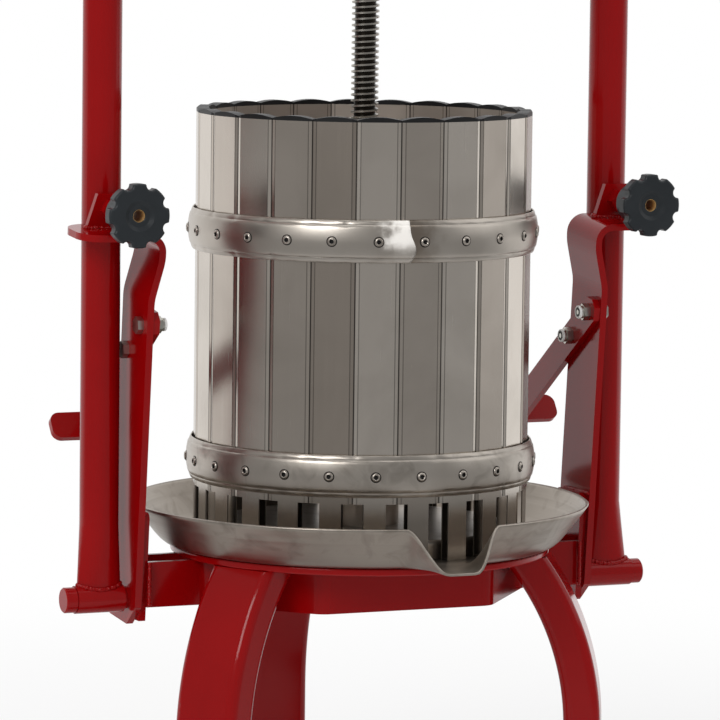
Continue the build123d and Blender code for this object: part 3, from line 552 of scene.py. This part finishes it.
# Height over the hoop and radius, in mm
RIVET_LINE = ((-0.8, HEAD + SHADOW_RING), (0.12, HEAD + SHADOW_RING), (0.14, HEAD), (0.4, HEAD),
              (1.1, 3.4), (1.6, 2.6), (1.6, 2.2), (1.3, 1.85), (0.2, 1.7), (0.2, 0))
for level in ("lower", "upper"):
    hoop_low, hoop_high = box("hoop_" + level)
    rivets = bmesh.new()
    dome = outline(rivets, [(x * MM, 0, r * MM) for x, r in RIVET_LINE])
    turn(rivets, dome, ALONG_X, RIVET_FACETS)
    # The hole takes the dark mandrel finish, and a thin ring round the flange takes it as painted
    # shadow
    for face in rivets.faces:
        reach = [math.hypot(v.co.y, v.co.z) / MM for v in face.verts]
        in_hole = max(reach) < HOLE
        low_down = max(v.co.x for v in face.verts) < SHADOW_RING_HEIGHT * MM
        if in_hole or min(reach) > HEAD_EDGE and low_down:
            face.material_index = 1
    bmesh.ops.translate(rivets, verts=rivets.verts,
                        vec=(hoop_high.x, 0, (hoop_low.z + hoop_high.z) / 2))
    bmesh.ops.rotate(rivets, verts=rivets.verts, cent=ORIGIN,
                     matrix=Matrix.Rotation(SLAT_TURN - math.pi / 2, 3, "Z"))
    bmesh.ops.spin(rivets, geom=rivets.verts[:] + rivets.edges[:] + rivets.faces[:],
                   axis=ALONG_Z, cent=ORIGIN, angle=math.tau * (SLATS - 1) / SLATS,
                   steps=SLATS - 1, use_duplicate=True)
    fit("blind_rivets_" + level, rivets, [hoop_steel, mandrel_and_shadow_black], "basket",
        ["rivets_" + level])

# Hoops: rolled with a raised band, whose narrow lips are hammered on the slats and dented at seams
HOOP = 36.0
BAND = 4.4
LIP = 5.0
# Height over the slats and height up the hoop, in mm
HALF_HOOP = [(0.0, 0.0), (0.35, 0.3), (1.2, 2.0), (1.65, 3.4), (1.6, 4.0), (2.2, 4.6), (2.8, 5.6),
             (3.2, 7.4), (3.7, 10.0), (4.15, 13.6), (4.37, 16.5)]
HOOP_LINE = HALF_HOOP + [(BAND, HOOP / 2)] + [(out, HOOP - up) for out, up in reversed(HALF_HOOP)]
HOOP_SHEET = 1.2 * MM
ROUND_FACETS = 360
# Least and most: shift and width of a dent in radians, depth in mm
DENT_SHIFT = (-0.05, 0.05)
DENT_DEPTH = (0.15, 0.75)
DENT_WIDTH = (0.014, 0.032)
# Height of a wave in the lip in mm, how many go round, and how fast it slants
LIP_WAVES = ((0.12, 17, 0), (0.1, 41, 1))
hammer = random.Random(11)
for level, finish in (("lower", hoop_steel), ("upper", seam_steel)):
    hoop_low, hoop_high = box("hoop_" + level)
    skin = hoop_high.x - BAND * MM
    dents = [(edge, SLAT_TURN + math.tau * (step + 0.5) / SLATS + hammer.uniform(*DENT_SHIFT),
              hammer.uniform(*DENT_DEPTH), hammer.uniform(*DENT_WIDTH))
             for step in range(SLATS) for edge in (0, 1)]
    hoop = bmesh.new()
    line = outline(hoop, [(skin + out * MM, 0, hoop_low.z + up * MM) for out, up in HOOP_LINE])
    turn(hoop, line, ALONG_Z, ROUND_FACETS)
    face_out(hoop, lambda face: face.normal.x * face.calc_center_median().x)
    for vert in hoop.verts:
        up = (vert.co.z - hoop_low.z) / MM
        if min(up, HOOP - up) < LIP:
            angle = math.atan2(vert.co.y, vert.co.x)
            struck = sum(deep * math.exp(-(math.remainder(angle - at, math.tau) / wide) ** 2)
                         for edge, at, deep, wide in dents if edge == (up > HOOP / 2))
            wave = sum(high * math.sin(count * angle + slant * up)
                       for high, count, slant in LIP_WAVES)
            fall = 1 - (struck + wave) * MM / skin
            vert.co = Vector((vert.co.x * fall, vert.co.y * fall, vert.co.z))
    band = fit("pressed_hoop_" + level, hoop, [finish], "basket", ["hoop_" + level])
    thicken(band, HOOP_SHEET)

# Hoop seam: the upper band laps over itself a little left of the front and its end stands proud
LAP = math.radians(7)
LAP_FACETS = 8
LAP_SHEET = 0.9 * MM
LAP_START, LAP_RISE = -0.5, 1.9
LAP_RIPPLE, LAP_RIPPLE_RATE = 0.4, 9
# The cut edge bows by this angle, most at this share of the hoop's height, over this spread
BOW, BOW_HEIGHT, BOW_SPREAD = 0.036, 0.3, 0.28
hoop_low, hoop_high = box("hoop_upper")
skin = hoop_high.x - BAND * MM
seam = bmesh.new()
lap = outline(seam, [(skin + out * MM, 0, hoop_low.z + up * MM) for out, up in HOOP_LINE])
bmesh.ops.rotate(seam, verts=seam.verts, cent=ORIGIN, matrix=Matrix.Rotation(SEAM - LAP, 3, "Z"))
bmesh.ops.spin(seam, geom=lap, axis=ALONG_Z, cent=ORIGIN, angle=LAP, steps=LAP_FACETS)
for vert in seam.verts:
    along = (math.atan2(vert.co.y, vert.co.x) - SEAM + LAP) / LAP
    up = (vert.co.z - hoop_low.z) / (HOOP * MM)
    lift = LAP_RISE * along + LAP_START + LAP_RIPPLE * along * math.sin(LAP_RIPPLE_RATE * up)
    proud = 1 + lift * MM / skin
    bowed = BOW * along * math.exp(-((up - BOW_HEIGHT) / BOW_SPREAD) ** 2)
    vert.co = Matrix.Rotation(bowed, 3, "Z") @ Vector((vert.co.x * proud, vert.co.y * proud,
                                                       vert.co.z))
bmesh.ops.recalc_face_normals(seam, faces=seam.faces)
face_out(seam, lambda face: face.normal.dot(face.calc_center_median()))
thicken(fit("hoop_seam", seam, [lap_steel], "basket"), LAP_SHEET)

# Juice tray: spun as a dished pan, then the front of its rim is drawn down and out into the spout
FLOOR = 258 * MM
BOWL = 150 * MM
MOUTH = math.radians(12.4)
CHANNEL = math.radians(3.3)
TRAY_SHEET = 1.9 * MM
RIM_INSIDE, RIM_UNDER, LIP_INSIDE = 0.3 * MM, 0.2 * MM, 0.5 * MM
# Share of the way out, and of the way up, from the bowl to the rim
TRAY_WALL = ((0.0, 0.0), (0.22, 0.0), (0.34, 0.02), (0.42, 0.07), (0.5, 0.155), (0.58, 0.27),
             (0.66, 0.40), (0.74, 0.535), (0.79, 0.624), (0.81, 0.652), (0.83, 0.699),
             (0.9, 0.815), (0.96, 0.925), (1.0, 1.0))
tray_low, tray_high = box("tray")
rim_r = tray_high.x - RIM_INSIDE
rim_z = tray_high.z - RIM_UNDER
lip_r = -tray_low.y - LIP_INSIDE
tray = bmesh.new()
pan = outline(tray, [(0, 0, FLOOR), (BOWL / 2, 0, FLOOR)] +
              [(BOWL + t * (rim_r - BOWL), 0, FLOOR + h * (rim_z - FLOOR)) for t, h in TRAY_WALL])
turn(tray, pan, ALONG_Z, ROUND_FACETS)
face_out(tray, lambda face: face.normal.z)
for vert in tray.verts:
    radius = math.hypot(vert.co.x, vert.co.y)
    off = abs(math.atan2(vert.co.x, -vert.co.y))
    if radius > BOWL and off < MOUTH:
        draw = min(1.0, (MOUTH - off) / (MOUTH - CHANNEL))
        draw = draw * draw * (3 - 2 * draw)
        along = (radius - BOWL) / (rim_r - BOWL)
        pull = (radius + draw * along * (lip_r - rim_r)) / radius
        vert.co = Vector((vert.co.x * pull, vert.co.y * pull,
                          vert.co.z - draw * (vert.co.z - FLOOR)))
pressed = fit("juice_tray", tray, [tray_steel, edge_steel], "tray", ["tray"])
thicken(pressed, TRAY_SHEET).material_offset_rim = 1

# Locking rings: nylon set in the end of each stop arm nut, round the dark end of its bolt
NUTS = ((-27.81, 455.19), (5.81, 431.21))
NUT_FACE = 196.9
RING_FACETS = 24
# Depth and radius, in mm
RING_LINE = ((0.3, 5.75), (-1.3, 5.7), (-1.8, 5.3), (-1.9, 4.7), (-1.5, 4.1), (-1.3, 3.9),
             (-1.4, 2.3), (-1.7, 2.1), (-1.75, 0))
NYLON_INSIDE = 4.2
BOLT_END = 2.2
rings = bmesh.new()
for nut_y, nut_z in NUTS:
    for side in (-1, 1):
        ring = bmesh.new()
        line = outline(ring, [(x * MM, 0, r * MM) for x, r in RING_LINE])
        turn(ring, line, ALONG_X, RING_FACETS)
        for face in ring.faces:
            reach = max(math.hypot(v.co.y, v.co.z) / MM for v in face.verts)
            face.material_index = 0 if reach > NYLON_INSIDE else 1 if reach > BOLT_END else 2
        bmesh.ops.scale(ring, verts=ring.verts, vec=(side, 1, 1))
        bmesh.ops.translate(ring, verts=ring.verts,
                            vec=(side * NUT_FACE * MM, nut_y * MM, nut_z * MM))
        bmesh.ops.recalc_face_normals(ring, faces=ring.faces)
        face_out(ring, lambda face: -side * face.normal.x)
        held = bpy.data.meshes.new("nylon_ring")
        ring.to_mesh(held)
        ring.free()
        rings.from_mesh(held)
        bpy.data.meshes.remove(held)
fit("nut_locking_rings", rings, [nylon, mandrel_and_shadow_black, zinc], "base")

# Knob mouths: the moulding closes over the face of its brass insert and leaves the bore open
MOUTH_FACETS = 32
# Radius and height over the insert, in mm
MOUTH_LINE = ((6.4, 0.2), (6.3, 1.05), (5.9, 1.0), (5.5, 0.6), (5.25, 0.15), (5.25, -0.3))
for side in ("left", "right"):
    low, high = box("knob_insert_" + side)
    mouth = bmesh.new()
    lip = outline(mouth, [(r * MM, low.y - out * MM, 0) for r, out in MOUTH_LINE])
    turn(mouth, lip, ALONG_Y, MOUTH_FACETS)
    bmesh.ops.translate(mouth, verts=mouth.verts,
                        vec=((low.x + high.x) / 2, 0, (low.z + high.z) / 2))
    face_out(mouth, lambda face: -face.normal.y)
    fit("knob_mouth_" + side, mouth, [knob_black], "knob_" + side)

# Weld beads: overlapping drops along each joint, under the enamel
DROP_SPACING = 0.75
DROP_STRAY = 0.12
DROP_SIZES = (0.8, 1.15)
drops = random.Random(4)


def weld(shape, path, size):
    """A rippled bead along a path, of drops that lie closer than their size."""
    for start, end in zip(path, path[1:]):
        start, end = Vector(start), Vector(end)
        count = max(1, round((end - start).length / (DROP_SPACING * size)))
        for step in range(count + 1):
            stray = Vector([drops.uniform(-DROP_STRAY, DROP_STRAY) * size for _ in range(3)])
            at = start.lerp(end, step / count) + stray
            bmesh.ops.create_uvsphere(shape, u_segments=8, v_segments=5,
                                      radius=size * drops.uniform(*DROP_SIZES) * MM,
                                      matrix=Matrix.Translation(at * MM))


UPRIGHT = 239.65
# Path and size of each bead, in mm: x from the upright for the lock plate, or from the middle
LOCK_WELDS = ((((-22.5, -15.6, 537.3), (22.5, -15.6, 537.3)), 2.0),
              (((-22.5, -15.4, 537.6), (-22.0, -10.4, 538.2)), 2.7),
              (((22.5, -15.4, 537.6), (22.0, -10.4, 538.2)), 2.7))
SIDE_PLATE_WELDS = ((((210.2, -24.0, 293.2), (210.2, 22.0, 293.2)), 1.8),
                    (((204.6, -20.6, 213.0), (204.6, -20.6, 249.0)), 1.8))
PIVOT_Y, PIVOT_Z, PIVOT_RADIUS = 2, 218, 12
FOOT_OUT, FOOT_WIDE, FOOT_DEEP, FOOT_LIFT = 2.8, 19.4, 8.6, 0.5
FOOT_STEP = 12
FOOT_SIZE = 1.9
stand_welds = bmesh.new()
gantry_welds = bmesh.new()
for side in (-1, 1):
    for path, size in LOCK_WELDS:
        weld(stand_welds, [(side * UPRIGHT + x, y, z) for x, y, z in path], size)
    for path, size in SIDE_PLATE_WELDS:
        weld(stand_welds, [(side * x, y, z) for x, y, z in path], size)
    loop = [(side * (UPRIGHT + FOOT_OUT) + FOOT_WIDE * math.cos(math.radians(a)),
             PIVOT_Y + FOOT_DEEP * math.sin(math.radians(a))) for a in range(0, 361, FOOT_STEP)]
    weld(gantry_welds,
         [(u, v, PIVOT_Z + math.sqrt(PIVOT_RADIUS ** 2 - (v - PIVOT_Y) ** 2) + FOOT_LIFT)
          for u, v in loop], FOOT_SIZE)
fit("stand_weld_beads", stand_welds, [enamel], "base")
fit("gantry_weld_beads", gantry_welds, [enamel], "gantry")

# Studio: pale floor that fades to white, soft lamps, white all round but dim on the camera's side
CAMERA_SIDE = (-0.35, -0.937, 0.0)
CAMERA_SIDE_LEVEL = 0.32
SKY_LEVEL = 0.65
FLOOR_SIZE = 14.0
SHADOW_REACH, WHITE_REACH = 0.35, 1.5
SHADOW_WHITE = 0.55
WHITE = (1, 1, 1, 1)


def background_rays(tree):
    """The rays from the camera, and all those that show the background, in metal and glass too."""
    ray = add(tree, "ShaderNodeLightPath")
    seen = add(tree, "ShaderNodeMath",
               {0: ray.outputs["Is Camera Ray"], 1: ray.outputs["Is Glossy Ray"]},
               operation="MAXIMUM")
    shown = add(tree, "ShaderNodeMath",
                {0: seen.outputs["Value"], 1: ray.outputs["Is Transmission Ray"]},
                operation="MAXIMUM")
    return ray.outputs["Is Camera Ray"], shown.outputs["Value"]


def dim_side(tree, place, white_until, dim_from):
    """White that falls to the dim level towards the camera's side."""
    ahead_of = add(tree, "ShaderNodeVectorMath", {0: place, 1: CAMERA_SIDE},
                   operation="DOT_PRODUCT")
    level = add(tree, "ShaderNodeMapRange",
                {"Value": ahead_of.outputs["Value"], "From Min": white_until,
                 "From Max": dim_from, "To Min": 1.0, "To Max": CAMERA_SIDE_LEVEL},
                interpolation_type="SMOOTHSTEP")
    return level.outputs["Result"]


floor_mesh = bpy.data.meshes.new("studio_floor")
ground = bmesh.new()
bmesh.ops.create_grid(ground, x_segments=1, y_segments=1, size=FLOOR_SIZE)
ground.to_mesh(floor_mesh)
ground.free()
floor = bpy.data.objects.new("studio_floor", floor_mesh)
bpy.context.scene.collection.objects.link(floor)
paper = bpy.data.materials.new("studio_paper")
paper.use_nodes = True
tree = paper.node_tree
tree.nodes.clear()
from_camera, shown = background_rays(tree)
spot = add(tree, "ShaderNodeTexCoord").outputs["Object"]
reach = add(tree, "ShaderNodeVectorMath", {0: spot}, operation="LENGTH")
fade = add(tree, "ShaderNodeMapRange",
           {"Value": reach.outputs["Value"], "From Min": SHADOW_REACH, "From Max": WHITE_REACH,
            "To Min": SHADOW_WHITE}, interpolation_type="SMOOTHSTEP")
white = add(tree, "ShaderNodeMath", {0: shown, 1: fade.outputs["Result"]}, operation="MULTIPLY")
matt = add(tree, "ShaderNodeBsdfDiffuse", {"Color": linear("#efefef")})
bright = add(tree, "ShaderNodeMix", {FACTOR: from_camera, VALUE_B: 1.0,
                                     VALUE_A: dim_side(tree, spot, white_until=-1.2,
                                                       dim_from=0.2)})
glow = add(tree, "ShaderNodeEmission", {"Color": WHITE, "Strength": bright.outputs[VALUE]})
blend = add(tree, "ShaderNodeMixShader", {0: white.outputs["Value"], 1: matt.outputs["BSDF"],
                                          2: glow.outputs["Emission"]})
add(tree, "ShaderNodeOutputMaterial", {"Surface": blend.outputs["Shader"]})
floor_mesh.materials.append(paper)

world = bpy.data.worlds.new("studio")
bpy.context.scene.world = world
world.use_nodes = True
tree = world.node_tree
tree.nodes.clear()
from_camera, shown = background_rays(tree)
way = add(tree, "ShaderNodeTexCoord").outputs["Generated"]
mirrored = add(tree, "ShaderNodeMix", {FACTOR: shown, VALUE_A: SKY_LEVEL,
                                       VALUE_B: dim_side(tree, way, white_until=-0.8,
                                                         dim_from=0.0)})
level = add(tree, "ShaderNodeMix", {FACTOR: from_camera, VALUE_A: mirrored.outputs[VALUE],
                                    VALUE_B: 1.0})
back = add(tree, "ShaderNodeBackground", {"Color": WHITE, "Strength": level.outputs[VALUE]})
add(tree, "ShaderNodeOutputWorld", {"Surface": back.outputs["Background"]})


def lamp(name, place, aim, size, power):
    """A soft box that looks from its place at its aim."""
    light = bpy.data.lights.new(name, "AREA")
    light.shape = "RECTANGLE"
    light.size, light.size_y = size
    light.energy = power
    made = bpy.data.objects.new(name, light)
    made.location = place
    made.rotation_euler = (Vector(aim) - Vector(place)).to_track_quat("-Z", "Y").to_euler()
    bpy.context.scene.collection.objects.link(made)


lamp("key_softbox", (-2.2, -1.6, 2.0), aim=(0, 0, 0.5), size=(1.3, 1.3), power=34)
lamp("fill_softbox", (2.4, -1.2, 2.0), aim=(0, 0, 0.45), size=(2.2, 2.4), power=13)
lamp("top_softbox", (0.2, 0.2, 3.0), aim=(0, 0, 0.4), size=(2.4, 2.4), power=22)

# Camera, fitted to the photo
TURN = math.radians(24)
TILT = math.radians(5.9475)
ROLL = math.radians(0.722)
AIM_HEIGHT = 416 * MM
DISTANCE = 4.524
ASIDE = 1.149 * MM
right = Vector((math.cos(TURN), -math.sin(TURN), 0))
away = Vector((math.sin(TURN), math.cos(TURN), 0))
ahead = away * math.cos(TILT) - Vector(ALONG_Z) * math.sin(TILT)
axes = Matrix((right, right.cross(ahead), -ahead)).transposed().to_4x4()
stand_point = Vector((0, 0, AIM_HEIGHT)) - ahead * DISTANCE - right * ASIDE
lens = bpy.data.cameras.new("camera")
lens.lens = 260
lens.sensor_width = 36
lens.clip_end = 50
camera = bpy.data.objects.new("camera", lens)
camera.matrix_world = Matrix.Translation(stand_point) @ axes @ Matrix.Rotation(ROLL, 4, "Z")
bpy.context.scene.collection.objects.link(camera)
bpy.context.scene.camera = camera
bpy.context.scene.view_settings.view_transform = "Standard"
